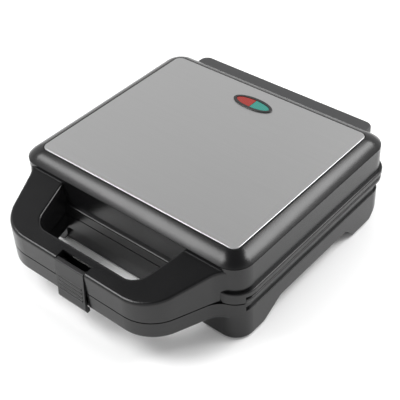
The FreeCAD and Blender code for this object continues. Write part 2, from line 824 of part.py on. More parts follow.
def lid_top_plate():
    """Pressed steel trim: a shallow tray, open below, with a window for the indicator."""
    outer = rounded_block(trim_width, trim_depth, plate_corner, trim_z, trim_top)
    outer = round_edges(outer, trim_round, at_level(trim_top))
    inner = rounded_block(trim_width - 2 * trim_thickness, trim_depth - 2 * trim_thickness,
                          plate_corner - trim_thickness, trim_z - overlap, trim_top - trim_thickness)
    window = oval(sleeve_length, sleeve_width, -past, past, trim_top, window_gap)
    return outer.cut([inner, window])


def indicator_bezel():
    """Black oval surround: a flange on the trim and a sleeve through it."""
    flange = oval(bezel_length, bezel_width, bezel_seat_gap, bezel_proud, trim_top)
    flange = round_edges(flange, bezel_round, at_level(trim_top + bezel_proud))
    sleeve = oval(sleeve_length, sleeve_width, -bezel_depth, sleeve_lap, trim_top)
    opening = oval(lens_length, lens_width, -bezel_depth - overlap, past, trim_top, lens_clearance)
    return flange.fuse(sleeve).cut(opening)


def indicator_lens(side):
    """Half of the oval window: a domed translucent cover over one lamp."""
    body = oval(lens_length, lens_width, lens_proud - lens_thickness, lens_proud, trim_top)
    body = round_edges(body, lens_round, at_level(trim_top + lens_proud))
    gap = lens_split / 2
    low = gap if side > 0 else -lens_length
    high = lens_length if side > 0 else -gap
    return body.common(box(low, high, indicator_y - lens_width, indicator_y + lens_width, 0, 2 * trim_top))


def indicator_lamp(side):
    """Small glass lamp lying under a lens."""
    x = side * lens_length / 4
    bulb = rod(lamp_radius, V(x - lamp_length / 2, indicator_y, lamp_z),
               V(x + lamp_length / 2, indicator_y, lamp_z))
    return bulb.makeFillet(lamp_end_round, [edge for edge in bulb.Edges if len(edge.Vertexes) == 1])


def lamp_holder():
    """Tray under the bezel that carries both lamps."""
    low = trim_top - bezel_depth - mating_gap - holder_thickness
    tray = oval(sleeve_length, sleeve_width, 0, holder_thickness, low)
    posts = []
    for side in (-1, 1):
        for end in (-1, 1):
            x = side * lens_length / 4 + end * (lamp_length / 2 - post_inset)
            posts.append(box(x - post_width / 2, x + post_width / 2, indicator_y - post_depth / 2,
                             indicator_y + post_depth / 2, low + holder_thickness - mating_gap / 2,
                             lamp_z - lamp_radius - mating_gap / 2))
    return tray.fuse(posts)


# ---------------------------------------------------------------- cooking plates
def grill_plate(face_z, up):
    """Cast plate: slab, raised rim, ribs along the depth, and bosses on its back. up is +1 or -1."""
    back_z = face_z - up * slab
    rim_z = face_z + up * dish_depth
    low, high = sorted((back_z, rim_z))
    outer = rounded_block(plate_width, plate_depth, plate_plan_corner, low, high)
    dish_low, dish_high = sorted((face_z, rim_z + up))
    dish = rounded_block(plate_width - 2 * plate_rim_width, plate_depth - 2 * plate_rim_width,
                         plate_plan_corner - plate_rim_width, dish_low, dish_high)
    solid = outer.cut(dish)
    usable = plate_width - 2 * plate_rim_width - 2 * rib_pitch
    count = int(usable // rib_pitch) + 1
    reach = plate_depth / 2 - plate_rim_width - rib_pitch / 2
    ribs = []
    for index in range(count):
        x = (index - (count - 1) / 2) * rib_pitch
        profile = [V(x - rib_root / 2, body_mid - reach, face_z - up * rib_sink),
                   V(x - rib_top / 2, body_mid - reach, face_z + up * rib_height),
                   V(x + rib_top / 2, body_mid - reach, face_z + up * rib_height),
                   V(x + rib_root / 2, body_mid - reach, face_z - up * rib_sink)]
        ribs.append(polygon_block(profile, V(0, 2 * reach, 0)))
    solid = solid.fuse(ribs)
    bosses = [rod(boss_radius, V(x, y, back_z + up * rib_sink), V(x, y, back_z - up * plate_boss_height))
              for x, y in boss_points]
    solid = solid.fuse(bosses)
    bores = [rod(plate_screw_radius + screw_thread_gap, V(x, y, back_z + up * slab / 2),
                 V(x, y, back_z - up * (plate_boss_height + overlap))) for x, y in boss_points]
    return solid.cut(bores)


def heater_path(z):
    """Centre line of a looped tubular heater: tails at the back, one hairpin towards the front."""
    half_x = plate_width / 2 - heater_inset
    half_y = plate_depth / 2 - heater_inset
    tail = heater_tail_spread / 2
    back = body_mid + half_y
    front = body_mid - half_y
    corners = [V(-tail, back - heater_tail, z), V(-tail, back, z), V(-half_x, back, z), V(-half_x, front, z),
               V(half_x, front, z), V(half_x, back, z), V(tail, back, z), V(tail, back - heater_tail, z)]
    edges = []
    start = corners[0]
    for before, at, after in zip(corners, corners[1:], corners[2:]):
        way_in = (before - at).normalize()
        way_out = (after - at).normalize()
        first = at + way_in * heater_bend
        last = at + way_out * heater_bend
        middle = at + (way_in + way_out) * heater_bend * (1 - math.sqrt(0.5))
        edges.append(Part.LineSegment(start, first).toShape())
        edges.append(Part.Arc(first, middle, last).toShape())
        start = last
    edges.append(Part.LineSegment(start, corners[-1]).toShape())
    return Part.Wire(edges)


def heating_element(back_z, up):
    """Tubular heater lying along the back of a cooking plate."""
    z = back_z - up * (heater_radius + mating_gap)
    path = heater_path(z)
    start = path.Edges[0].Vertexes[0].Point
    section = Part.Wire([Part.Circle(start, V(0, 1, 0), heater_radius).toShape()])
    return path.makePipeShell([section], True, False)


def heater_clamps(back_z, up):
    """Bent straps that hold the heater against the plate, two on each side run."""
    half_x = plate_width / 2 - heater_inset
    reach = heater_radius + mating_gap
    straps = []
    for sx in (-1, 1):
        for sy in (-1, 1):
            x = sx * half_x
            y = body_mid + sy * (plate_depth / 2 - heater_inset) * clamp_share
            hump = heater_radius + clamp_clearance + clamp_thickness
            depth = 2 * reach + clamp_thickness
            low, high = sorted((back_z - up * clamp_seat_gap, back_z - up * depth))
            block = box(x - hump, x + hump, y - clamp_width / 2, y + clamp_width / 2, low, high)
            wing_low, wing_high = sorted((back_z - up * clamp_seat_gap,
                                          back_z - up * (clamp_seat_gap + clamp_thickness)))
            wings = box(x - hump - clamp_wing, x + hump + clamp_wing, y - clamp_width / 2,
                        y + clamp_width / 2, wing_low, wing_high)
            hollow_low, hollow_high = sorted((back_z + up,
                                              back_z - up * (depth - clamp_thickness + clamp_clearance)))
            hollow = box(x - hump + clamp_thickness, x + hump - clamp_thickness, y - clamp_width,
                         y + clamp_width, hollow_low, hollow_high)
            straps.append(block.fuse(wings).cut(hollow))
    return group(straps)


def heat_reflector(back_z, up):
    """Thin tray between a cooking plate and its housing."""
    z = back_z - up * reflector_gap
    low, high = sorted((z, z - up * reflector_thickness))
    width = plate_width - 2 * reflector_inset
    depth = plate_depth - 2 * reflector_inset
    sheet = rounded_block(width, depth, plate_plan_corner, low, high)
    lip_low, lip_high = sorted((z - up * reflector_thickness, z + up * reflector_lip))
    lip = rounded_block(width, depth, plate_plan_corner, lip_low, lip_high)
    lip = lip.cut(rounded_block(width - 2 * reflector_thickness, depth - 2 * reflector_thickness,
                                plate_plan_corner - reflector_thickness, lip_low - overlap,
                                lip_high + overlap))
    holes = [rod(boss_radius + reflector_hole_gap, V(x, y, low - overlap), V(x, y, high + overlap))
             for x, y in boss_points]
    return sheet.fuse(lip).cut(holes).removeSplitter()


def thermostat(back_z, up):
    """Disc thermostat on the back of a plate: body and mounting flange."""
    y = body_mid - thermostat_y
    top = back_z - up * mating_gap / 2
    flange_end = top - up * thermostat_tab
    body_end = flange_end - up * thermostat_height
    tabs_low, tabs_high = sorted((top, flange_end))
    tabs = box(-thermostat_flange, thermostat_flange, y - thermostat_tab_width / 2,
               y + thermostat_tab_width / 2, tabs_low, tabs_high)
    body = rod(thermostat_radius, V(0, y, top), V(0, y, body_end))
    return joined([body, tabs])


def plate_screws(back_z, up, head_seat):
    """Screws from a housing boss into the cooking plate's bosses."""
    screws = []
    for x, y in boss_points:
        tip = back_z - up * screw_tip_gap
        shank = rod(plate_screw_radius, V(x, y, tip), V(x, y, head_seat))
        head = rod(screw_head_radius, V(x, y, head_seat), V(x, y, head_seat - up * screw_head_height))
        screws.append(shank.fuse(head))
    return group(screws)


def thermal_fuse():
    """Cartridge fuse in its sleeve beside the lower thermostat."""
    z = lower_back_z - mating_gap - fuse_radius
    y = body_mid - thermostat_y - thermostat_radius - fuse_gap
    return rod(fuse_radius, V(-fuse_length / 2, y, z), V(fuse_length / 2, y, z))


def terminal_block():
    """Ceramic connector block on the floor behind the cord inlet, with its wire holes."""
    y = body_back - terminal_back
    low = floor_top + mating_gap / 2
    block = box(inlet_x - terminal_length / 2, inlet_x + terminal_length / 2, y - terminal_depth / 2,
                y + terminal_depth / 2, low, low + terminal_height)
    pitch = terminal_length / terminal_ways
    mid_z = low + terminal_height / 2
    holes = []
    for index in range(terminal_ways):
        x = inlet_x + (index - (terminal_ways - 1) / 2) * pitch
        holes.append(rod(terminal_bore, V(x, y - terminal_depth, mid_z), V(x, y + terminal_depth, mid_z)))
    return block.cut(holes)


# ---------------------------------------------------------------- hinge
def hinge_screw_holes(z, y0, y1):
    """Screw holes through a back wall for one row of hinge brackets."""
    holes = []
    for sx in (-1, 1):
        for side in (-1, 1):
            x = sx * hinge_x + side * (bracket_width / 2 - bracket_screw_inset)
            holes.append(rod(plate_screw_radius + screw_slip, V(x, y0, z), V(x, y1, z)))
    return holes


def base_hinge_bracket(sx):
    """Steel bracket on the back of the band, with two ears around the hinge axis."""
    x = sx * hinge_x
    y = cove_y
    back = box(x - bracket_width / 2, x + bracket_width / 2, y, y + bracket_plate,
               bracket_z - bracket_height / 2, bracket_z + bracket_height / 2)
    ears = []
    for side in (-1, 1):
        outer = x + side * ear_span / 2
        inner = outer - side * ear_thickness
        low, high = sorted((inner, outer))
        ears.append(rod(knuckle_radius, V(low, axis_y, axis_z), V(high, axis_y, axis_z)))
        ears.append(box(low, high, y, axis_y, axis_z - knuckle_radius, band_top - bead_height - mating_gap))
    solid = back.fuse(ears)
    bores = [rod(hinge_pin_radius, V(x - ear_span, axis_y, axis_z), V(x + ear_span, axis_y, axis_z))]
    bores += hinge_screw_holes(bracket_z, y - overlap, y + bracket_plate + overlap)
    return solid.cut(bores).removeSplitter()


def lid_hinge_bracket(sx):
    """Steel bracket on the back of the lid wall, reaching down to a knuckle between the base ears."""
    x = sx * hinge_x
    y = body_back
    half = ear_span / 2 - ear_thickness - knuckle_side_gap
    foot_low = flange_top + lid_bracket_foot_gap
    foot_high = lid_screw_z + lid_bracket_head
    back = box(x - bracket_width / 2, x + bracket_width / 2, y, y + bracket_plate, foot_low, foot_high)
    tongue_y = body_back + flange_proud + tongue_gap
    tongue_top = foot_low + tongue_height
    tongue = box(x - half, x + half, tongue_y, axis_y + knuckle_radius * tongue_share, axis_z, tongue_top)
    bridge = box(x - half, x + half, y, tongue_y + overlap, foot_low, tongue_top)
    eye = rod(knuckle_radius, V(x - half, axis_y, axis_z), V(x + half, axis_y, axis_z))
    solid = back.fuse([tongue, bridge, eye])
    bores = [rod(hinge_pin_radius + running_clearance, V(x - ear_span, axis_y, axis_z),
                 V(x + ear_span, axis_y, axis_z))]
    bores += hinge_screw_holes(lid_screw_z, y - overlap, y + bracket_plate + overlap)
    return solid.cut(bores).removeSplitter()


def hinge_pin(sx):
    """Steel pin through one hinge, pressed into the base ears."""
    x = sx * hinge_x
    half = ear_span / 2 + pin_proud
    pin = rod(hinge_pin_radius, V(x - half, axis_y, axis_z), V(x + half, axis_y, axis_z))
    return pin.makeChamfer(pin_chamfer, [edge for edge in pin.Edges if len(edge.Vertexes) == 1])


def hinge_screws(z, wall_y, wall_depth):
    """Pan-head screws of one row of brackets, heads outside, with the wall's own clearance holes."""
    screws = []
    for sx in (-1, 1):
        for side in (-1, 1):
            x = sx * hinge_x + side * (bracket_width / 2 - bracket_screw_inset)
            seat = wall_y + bracket_plate
            shank = rod(plate_screw_radius, V(x, seat, z), V(x, wall_y - wall_depth, z))
            head = rod(screw_head_radius, V(x, seat, z), V(x, seat + hinge_screw_head, z))
            screws.append(shank.fuse(head))
    return group(screws)


def hinge_cover():
    """Satin cover over the hinges, fixed to the back of the lid."""
    half = body_width / 2 - hinge_cover_inset
    low = band_top
    high = housing_top - hinge_cover_top_drop
    front = body_back + hinge_cover_gap
    back = body_back + hinge_cover_depth
    def shell(inset, extra_front):
        outer = box(-half + inset, half - inset, front - extra_front, back - inset, low - extra_front,
                    high - inset)
        corners = [edge for edge in outer.Edges if edge.BoundBox.ZLength > past and
                   edge.BoundBox.YMin > back - inset - near]
        return outer.makeFillet(hinge_cover_corner - inset, corners)
    solid = shell(0, 0)
    top = [edge for edge in solid.Edges if at_level(high)(edge) and edge.BoundBox.YMax > front + near]
    solid = solid.makeFillet(hinge_cover_round, top)
    solid = solid.cut(shell(hinge_cover_wall, past))
    notch = box(-body_width, body_width, front - overlap, body_back + flange_proud + hinge_cover_gap, 0,
                flange_top + hinge_cover_gap)
    return solid.cut(notch)


# ---------------------------------------------------------------- latch
def latch_clip():
    """Latch: a ridged plate hung from the pivot by two eyes, with a hook under the base half's catch."""
    half = latch_width / 2
    top = grip_top + latch_recess() * math.tan(math.radians(handle_slope)) - latch_top_drop
    back_top = grip_y + latch_recess() - latch_back_gap
    face_top = grip_y - latch_set_in
    face_low = front_y
    inner_low = face_low + latch_thickness
    hook_back = grip_y + latch_recess() - catch_depth - catch_gap
    hook_z = handle_bottom - catch_gap
    tip = latch_bottom + latch_tip_height
    profile = [V(-half, back_top, top), V(-half, face_top, top - latch_top_slant),
               V(-half, face_low, tip), V(-half, face_low + latch_tip_slant, latch_bottom),
               V(-half, hook_back, latch_bottom + latch_tip_lift), V(-half, hook_back, hook_z - hook_height),
               V(-half, inner_low, hook_z),
               V(-half, inner_low - latch_back_gap, base_handle_top - latch_knee_drop),
               V(-half, back_top, pivot_z - pivot_eye_radius - latch_neck)]
    solid = polygon_block(profile, V(latch_width, 0, 0))
    upright = [edge for edge in solid.Edges if edge.BoundBox.XLength > latch_width - near and
               edge.BoundBox.ZMin > top - past * near]
    solid = solid.makeFillet(latch_round, upright)
    eyes = []
    for side in (-1, 1):
        outer = side * half
        inner = outer - side * pivot_eye_width
        low, high = sorted((inner, outer))
        eyes.append(rod(pivot_eye_radius, V(low, pivot_y, pivot_z), V(high, pivot_y, pivot_z)))
        eyes.append(box(low, high, back_top - near, pivot_y, pivot_z - pivot_eye_radius,
                        pivot_z + pivot_eye_radius))
    solid = solid.fuse(eyes)
    ridge_half = half - ridge_end_gap
    lean = (face_low - face_top) / (top - latch_top_slant - tip)
    ridges = []
    for index in range(latch_ridges):
        z = latch_bottom + ridge_start + index * latch_ridge_pitch
        y = face_low - lean * (z - tip)
        ridge = rod(latch_ridge_width, V(-ridge_half, y + latch_ridge_width - latch_ridge_proud, z),
                    V(ridge_half, y + latch_ridge_width - latch_ridge_proud, z))
        ridges.append(ridge)
    solid = solid.fuse(ridges)
    bore = rod(pivot_pin_radius + running_clearance, V(-latch_width, pivot_y, pivot_z),
               V(latch_width, pivot_y, pivot_z))
    return solid.cut(bore).removeSplitter()


def latch_pin():
    """Pin that the latch hangs from, held in the side walls of the handle's recess."""
    half = latch_width / 2 + latch_side_gap + handle_wall
    return rod(pivot_pin_radius, V(-half, pivot_y, pivot_z), V(half, pivot_y, pivot_z))


# ---------------------------------------------------------------- build
os.makedirs("parts", exist_ok=True)
save("base_shell", base_shell())
corner_names = ("front_left", "front_right", "rear_left", "rear_right")
for foot_name, (foot_x, foot_y) in zip(corner_names, foot_points()):
    save("foot_" + foot_name, foot(foot_x, foot_y))
save("cord_inlet_bush", cord_inlet_bush())
save("lid_housing", lid_housing())
save("lid_top_cover", lid_top_cover())
save("lid_top_plate", lid_top_plate())
save("indicator_bezel", indicator_bezel())
save("red_lens", indicator_lens(-1))
save("green_lens", indicator_lens(1))
save("red_lamp", indicator_lamp(-1))
save("green_lamp", indicator_lamp(1))
save("lamp_holder", lamp_holder())
save("lower_grill_plate", grill_plate(lower_face_z, 1))
save("upper_grill_plate", grill_plate(upper_face_z, -1))
save("lower_heating_element", heating_element(lower_back_z, 1))
save("upper_heating_element", heating_element(upper_back_z, -1))
save("lower_heater_clamps", heater_clamps(lower_back_z, 1))
save("upper_heater_clamps", heater_clamps(upper_back_z, -1))
save("lower_heat_reflector", heat_reflector(lower_back_z, 1))
save("upper_heat_reflector", heat_reflector(upper_back_z, -1))
save("lower_thermostat", thermostat(lower_back_z, 1))
save("upper_thermostat", thermostat(upper_back_z, -1))
save("thermal_fuse", thermal_fuse())
save("terminal_block", terminal_block())
save("lower_plate_screws", plate_screws(lower_back_z, 1, screw_seat_z))
save("upper_plate_screws", plate_screws(upper_back_z, -1, trim_z - mating_gap / 2 - cover_deck - overlap))
for side_name, side_sign in (("left", -1), ("right", 1)):
    save("base_hinge_bracket_" + side_name, base_hinge_bracket(side_sign))
    save("lid_hinge_bracket_" + side_name, lid_hinge_bracket(side_sign))
    save("hinge_pin_" + side_name, hinge_pin(side_sign))
save("base_hinge_screws", hinge_screws(bracket_z, cove_y, cove_wall + plate_edge_gap / 2))
save("lid_hinge_screws", hinge_screws(lid_screw_z, body_back, wall + hinge_screw_reach))
save("hinge_cover", hinge_cover())
save("latch_clip", latch_clip())
save("latch_pin", latch_pin())
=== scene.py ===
"""Looks of the panini press: finishes for its moulded, pressed, cast and rubber pieces, and a studio stage."""
import math

import bpy
from mathutils import Matrix, Vector

bl_info = {
    "name": "Panini press looks",
    "version": (1, 0, 0),
    "blender": (4, 5, 0),
    "location": "View3D > Sidebar > Press",
    "description": "Finishes the panini press piece by piece and sets it on a studio stage",
    "category": "Object",
}

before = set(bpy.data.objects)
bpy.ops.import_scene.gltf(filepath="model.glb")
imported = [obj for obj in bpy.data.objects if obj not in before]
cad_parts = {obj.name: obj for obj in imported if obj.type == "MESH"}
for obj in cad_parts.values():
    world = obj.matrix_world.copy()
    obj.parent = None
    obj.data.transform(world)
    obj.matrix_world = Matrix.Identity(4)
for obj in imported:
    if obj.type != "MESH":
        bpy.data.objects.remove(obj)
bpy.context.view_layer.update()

MM = 0.001


# ---------------------------------------------------------------- shader helpers
class Finish:
    """A new material with one surface shader, and short calls that add texture nodes to it."""

    def __init__(self, name, colour, roughness, metallic=0.0):
        self.material = bpy.data.materials.new(name)
        self.material.use_nodes = True
        tree = self.material.node_tree
        self.nodes = tree.nodes
        self.links = tree.links
        self.shader = self.nodes["Principled BSDF"]
        self.set("Base Color", (*colour, 1.0))
        self.set("Roughness", roughness)
        self.set("Metallic", metallic)
        self.place = self.nodes.new("ShaderNodeTexCoord").outputs["Object"]
        self.height = None

    def set(self, socket, value):
        self.shader.inputs[socket].default_value = value

    def stretched(self, scale):
        """Object coordinates scaled by a vector, so that a texture runs along one axis."""
        mapping = self.nodes.new("ShaderNodeMapping")
        mapping.inputs["Scale"].default_value = scale
        self.links.new(self.place, mapping.inputs["Vector"])
        return mapping.outputs["Vector"]

    def noise(self, size, detail=3.0, place=None, rough=0.5):
        """Noise whose blotches are about one size across, in metres."""
        node = self.nodes.new("ShaderNodeTexNoise")
        node.inputs["Scale"].default_value = 1.0 / size
        node.inputs["Detail"].default_value = detail
        node.inputs["Roughness"].default_value = rough
        self.links.new(place or self.place, node.inputs["Vector"])
        return node.outputs["Fac"]

    def cells(self, size, place=None):
        """Rounded cells about one size across, in metres."""
        node = self.nodes.new("ShaderNodeTexVoronoi")
        node.feature = "SMOOTH_F1"
        node.inputs["Scale"].default_value = 1.0 / size
        self.links.new(place or self.place, node.inputs["Vector"])
        return node.outputs["Distance"]

    def ramp(self, value, low, high, start=0.3, end=0.7):
        """Map a texture value onto a plain range."""
        node = self.nodes.new("ShaderNodeMapRange")
        node.inputs["From Min"].default_value = start
        node.inputs["From Max"].default_value = end
        node.inputs["To Min"].default_value = low
        node.inputs["To Max"].default_value = high
        self.links.new(value, node.inputs["Value"])
        return node.outputs["Result"]

    def tint(self, value, first, second, start=0.3, end=0.7):
        """Colour the surface between two colours by a texture value."""
        node = self.nodes.new("ShaderNodeValToRGB")
        node.color_ramp.elements[0].position = start
        node.color_ramp.elements[0].color = (*first, 1.0)
        node.color_ramp.elements[1].position = end
        node.color_ramp.elements[1].color = (*second, 1.0)
        self.links.new(value, node.inputs["Fac"])
        self.links.new(node.outputs["Color"], self.shader.inputs["Base Color"])

    def rough(self, value, low, high):
        """Vary the roughness by a texture value."""
        self.links.new(self.ramp(value, low, high), self.shader.inputs["Roughness"])

    def bump(self, value, depth, strength=1.0):
        """Add relief; depth in metres. Later calls build on earlier ones."""
        node = self.nodes.new("ShaderNodeBump")
        node.inputs["Strength"].default_value = strength
        node.inputs["Distance"].default_value = depth
        self.links.new(value, node.inputs["Height"])
        if self.height is not None:
            self.links.new(self.height, node.inputs["Normal"])
        self.height = node.outputs["Normal"]
        self.links.new(self.height, self.shader.inputs["Normal"])


def give(material, *names):
    """Put one material on CAD nodes."""
    for name in names:
        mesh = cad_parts[name].data
        mesh.materials.clear()
        mesh.materials.append(material)


def settings(context):
    """The user's values."""
    return context.scene.press_finish


# ---------------------------------------------------------------- values a user can change
def colour_value(name, text, default):
    """A colour property."""
    return bpy.props.FloatVectorProperty(name=name, description=text, default=default, size=3,
                                         subtype="COLOR", min=0.0, max=1.0)


class PRESS_PG_finish(bpy.types.PropertyGroup):
    """Colours and surface values of the press."""
    shell_colour: colour_value("Shell colour", "Colour of the black mouldings", (0.0045, 0.0045, 0.0048))
    shell_roughness: bpy.props.FloatProperty(
        name="Shell roughness", description="Gloss of the black mouldings", default=0.24, min=0.05, max=1.0,
        subtype="FACTOR")
    cover_colour: colour_value("Hinge cover colour", "Colour of the cover over the hinges", (0.030, 0.030, 0.031))
    steel_colour: colour_value("Steel colour", "Colour of the trim on the lid", (0.56, 0.56, 0.56))
    steel_roughness: bpy.props.FloatProperty(
        name="Steel roughness", description="Gloss of the trim on the lid", default=0.38, min=0.05, max=1.0,
        subtype="FACTOR")
    red_colour: colour_value("Red lens", "Colour of the power lens", (0.24, 0.010, 0.005))
    green_colour: colour_value("Green lens", "Colour of the ready lens", (0.016, 0.19, 0.155))


class PRESS_PG_stage(bpy.types.PropertyGroup):
    """Camera, lights and floor."""
    azimuth: bpy.props.FloatProperty(
        name="Azimuth", description="Camera's angle round the press from the front", default=math.radians(42.31),
        unit="ROTATION")
    elevation: bpy.props.FloatProperty(
        name="Elevation", description="Camera's angle above the table", default=math.radians(40.31),
        unit="ROTATION")
    roll: bpy.props.FloatProperty(
        name="Roll", description="Camera's turn about its own axis", default=math.radians(-3.30), unit="ROTATION")
    distance: bpy.props.FloatProperty(
        name="Distance", description="Camera to the point it looks at", default=0.898, unit="LENGTH")
    aim: bpy.props.FloatVectorProperty(
        name="Aim", description="Point that the camera looks at", default=(0.0243, -0.0093, 0.060), size=3,
        subtype="TRANSLATION", unit="LENGTH")
    lens: bpy.props.FloatProperty(
        name="Lens", description="Focal length in millimetres", default=84.78, min=10.0)
    floor_colour: colour_value("Floor colour", "Colour of the table", (0.93, 0.93, 0.93))
    floor_size: bpy.props.FloatProperty(
        name="Floor size", description="Side of the floor", default=12.0, unit="LENGTH")
    soft_light: bpy.props.FloatProperty(
        name="Soft light", description="Strength of the light from all round", default=1.0, min=0.0)
    side_power: bpy.props.FloatProperty(
        name="Side light power", description="Power of each large side light, in watts", default=14.5, min=0.0)
    fill_power: bpy.props.FloatProperty(
        name="Fill light power", description="Power of the wide light overhead, in watts", default=30.0, min=0.0)


# ---------------------------------------------------------------- finishes
def moulded_black(name, colour, roughness):
    """Satin black moulding: an even deep black, a faint flow pattern and a very fine spark-eroded skin."""
    finish = Finish(name, colour, roughness)
    finish.set("IOR", 1.42)
    lighter = tuple(1.10 * part for part in colour)
    finish.tint(finish.noise(38 * MM, 2.0), colour, lighter)
    finish.rough(finish.noise(30 * MM, 3.0), roughness - 0.015, roughness + 0.02)
    finish.bump(finish.noise(0.35 * MM, 2.0), 0.0035 * MM, 0.35)
    return finish.material


class PRESS_OT_shells(bpy.types.Operator):
    """Give the base, the lid and the latch their satin black plastic"""
    bl_idname = "press.shells"
    bl_label = "Shells and latch"

    def execute(self, context):
        values = settings(context)
        material = moulded_black("black_plastic", tuple(values.shell_colour), values.shell_roughness)
        give(material, "base_shell", "lid_housing", "lid_top_cover")
        latch = moulded_black("latch_plastic", tuple(values.shell_colour), values.shell_roughness + 0.06)
        give(latch, "latch_clip")
        return {"FINISHED"}


class PRESS_OT_hinge_cover(bpy.types.Operator):
    """Give the hinge cover its fine-grained dark grey plastic"""
    bl_idname = "press.hinge_cover"
    bl_label = "Hinge cover"

    def execute(self, context):
        colour = tuple(settings(context).cover_colour)
        finish = Finish("grey_plastic", colour, 0.45)
        finish.tint(finish.noise(18 * MM, 3.0), colour, tuple(1.08 * part for part in colour))
        finish.rough(finish.noise(6 * MM, 3.0), 0.44, 0.48)
        finish.bump(finish.cells(0.7 * MM), 0.02 * MM, 0.5)
        give(finish.material, "hinge_cover")
        return {"FINISHED"}


class PRESS_OT_trim(bpy.types.Operator):
    """Give the lid's trim its fine brushed steel"""
    bl_idname = "press.trim"
    bl_label = "Steel trim"

    def execute(self, context):
        values = settings(context)
        colour = tuple(values.steel_colour)
        finish = Finish("trim_steel", colour, values.steel_roughness, 1.0)
        grain = finish.noise(1.0, 4.0, finish.stretched((14.0, 2600.0, 2600.0)), 0.6)
        finish.tint(grain, tuple(0.97 * part for part in colour), tuple(1.03 * part for part in colour))
        finish.rough(grain, values.steel_roughness - 0.02, values.steel_roughness + 0.02)
        finish.bump(grain, 0.0015 * MM, 0.3)
        give(finish.material, "lid_top_plate")
        return {"FINISHED"}


def lens_finish(name, colour):
    """Tinted moulded lens: glossy outside, with fine upright prisms showing through."""
    finish = Finish(name, colour, 0.12)
    finish.set("IOR", 1.49)
    finish.set("Coat Weight", 0.12)
    finish.set("Coat Roughness", 0.06)
    finish.set("Transmission Weight", 0.12)
    prisms = finish.nodes.new("ShaderNodeTexWave")
    prisms.wave_type = "BANDS"
    prisms.bands_direction = "X"
    prisms.inputs["Scale"].default_value = 1.0 / (20.0 * MM) * 3.4
    finish.links.new(finish.place, prisms.inputs["Vector"])
    finish.tint(prisms.outputs["Fac"], tuple(0.72 * part for part in colour), tuple(1.25 * part for part in colour),
                0.1, 0.9)
    finish.bump(prisms.outputs["Fac"], 0.05 * MM, 0.3)
    return finish.material


class PRESS_OT_indicator(bpy.types.Operator):
    """Give the indicator its gloss bezel, tinted lenses and glass lamps"""
    bl_idname = "press.indicator"
    bl_label = "Indicator"

    def execute(self, context):
        values = settings(context)
        bezel = Finish("bezel_plastic", (0.012, 0.012, 0.012), 0.18)
        bezel.rough(bezel.noise(1.5 * MM), 0.14, 0.24)
        bezel.bump(bezel.noise(0.8 * MM), 0.004 * MM, 0.4)
        give(bezel.material, "indicator_bezel")
        give(lens_finish("red_lens", tuple(values.red_colour)), "red_lens")
        give(lens_finish("green_lens", tuple(values.green_colour)), "green_lens")
        lamp = Finish("lamp_glass", (0.9, 0.85, 0.8), 0.05)
        lamp.set("Transmission Weight", 0.8)
        lamp.bump(lamp.noise(2 * MM), 0.01 * MM, 0.3)
        give(lamp.material, "red_lamp", "green_lamp")
        return {"FINISHED"}


class PRESS_OT_plates(bpy.types.Operator):
    """Give the cooking plates their dark non-stick coating"""
    bl_idname = "press.plates"
    bl_label = "Cooking plates"

    def execute(self, context):
        finish = Finish("nonstick", (0.022, 0.022, 0.023), 0.42)
        speck = finish.cells(0.9 * MM)
        finish.tint(speck, (0.016, 0.016, 0.017), (0.05, 0.05, 0.052), 0.35, 0.95)
        finish.rough(finish.noise(5 * MM, 5.0), 0.34, 0.52)
        finish.bump(finish.noise(0.6 * MM, 3.0), 0.03 * MM, 0.5)
        give(finish.material, "lower_grill_plate", "upper_grill_plate")
        return {"FINISHED"}


class PRESS_OT_heating(bpy.types.Operator):
    """Finish the heaters, reflectors, thermostats, fuse and terminal block"""
    bl_idname = "press.heating"
    bl_label = "Heating parts"

    def execute(self, context):
        sheath = Finish("heater_steel", (0.20, 0.19, 0.18), 0.45, 1.0)
        sheath.tint(sheath.noise(12 * MM, 5.0), (0.13, 0.12, 0.115), (0.30, 0.27, 0.24))
        sheath.bump(sheath.noise(0.5 * MM), 0.01 * MM, 0.5)
        give(sheath.material, "lower_heating_element", "upper_heating_element")
        sheet = Finish("reflector", (0.78, 0.78, 0.77), 0.30, 1.0)
        sheet.rough(sheet.noise(10 * MM, 6.0), 0.22, 0.42)
        sheet.bump(sheet.noise(15 * MM, 2.0), 0.08 * MM, 0.4)
        give(sheet.material, "lower_heat_reflector", "upper_heat_reflector")
        brown = Finish("dark_insulator", (0.055, 0.030, 0.020), 0.5)
        brown.tint(brown.noise(1.5 * MM, 5.0), (0.04, 0.022, 0.015), (0.085, 0.048, 0.032))
        brown.bump(brown.noise(0.5 * MM), 0.02 * MM, 0.5)
        give(brown.material, "lower_thermostat", "upper_thermostat", "lamp_holder")
        sleeve = Finish("fuse_sleeve", (0.72, 0.70, 0.62), 0.8)
        sleeve.bump(sleeve.cells(0.7 * MM), 0.12 * MM, 0.8)
        sleeve.tint(sleeve.noise(1.2 * MM), (0.60, 0.58, 0.50), (0.80, 0.78, 0.70))
        give(sleeve.material, "thermal_fuse")
        clay = Finish("ceramic", (0.78, 0.76, 0.70), 0.6)
        clay.tint(clay.noise(2 * MM, 5.0), (0.72, 0.69, 0.62), (0.84, 0.82, 0.77))
        clay.bump(clay.noise(0.8 * MM, 4.0), 0.04 * MM, 0.5)
        give(clay.material, "terminal_block")
        return {"FINISHED"}


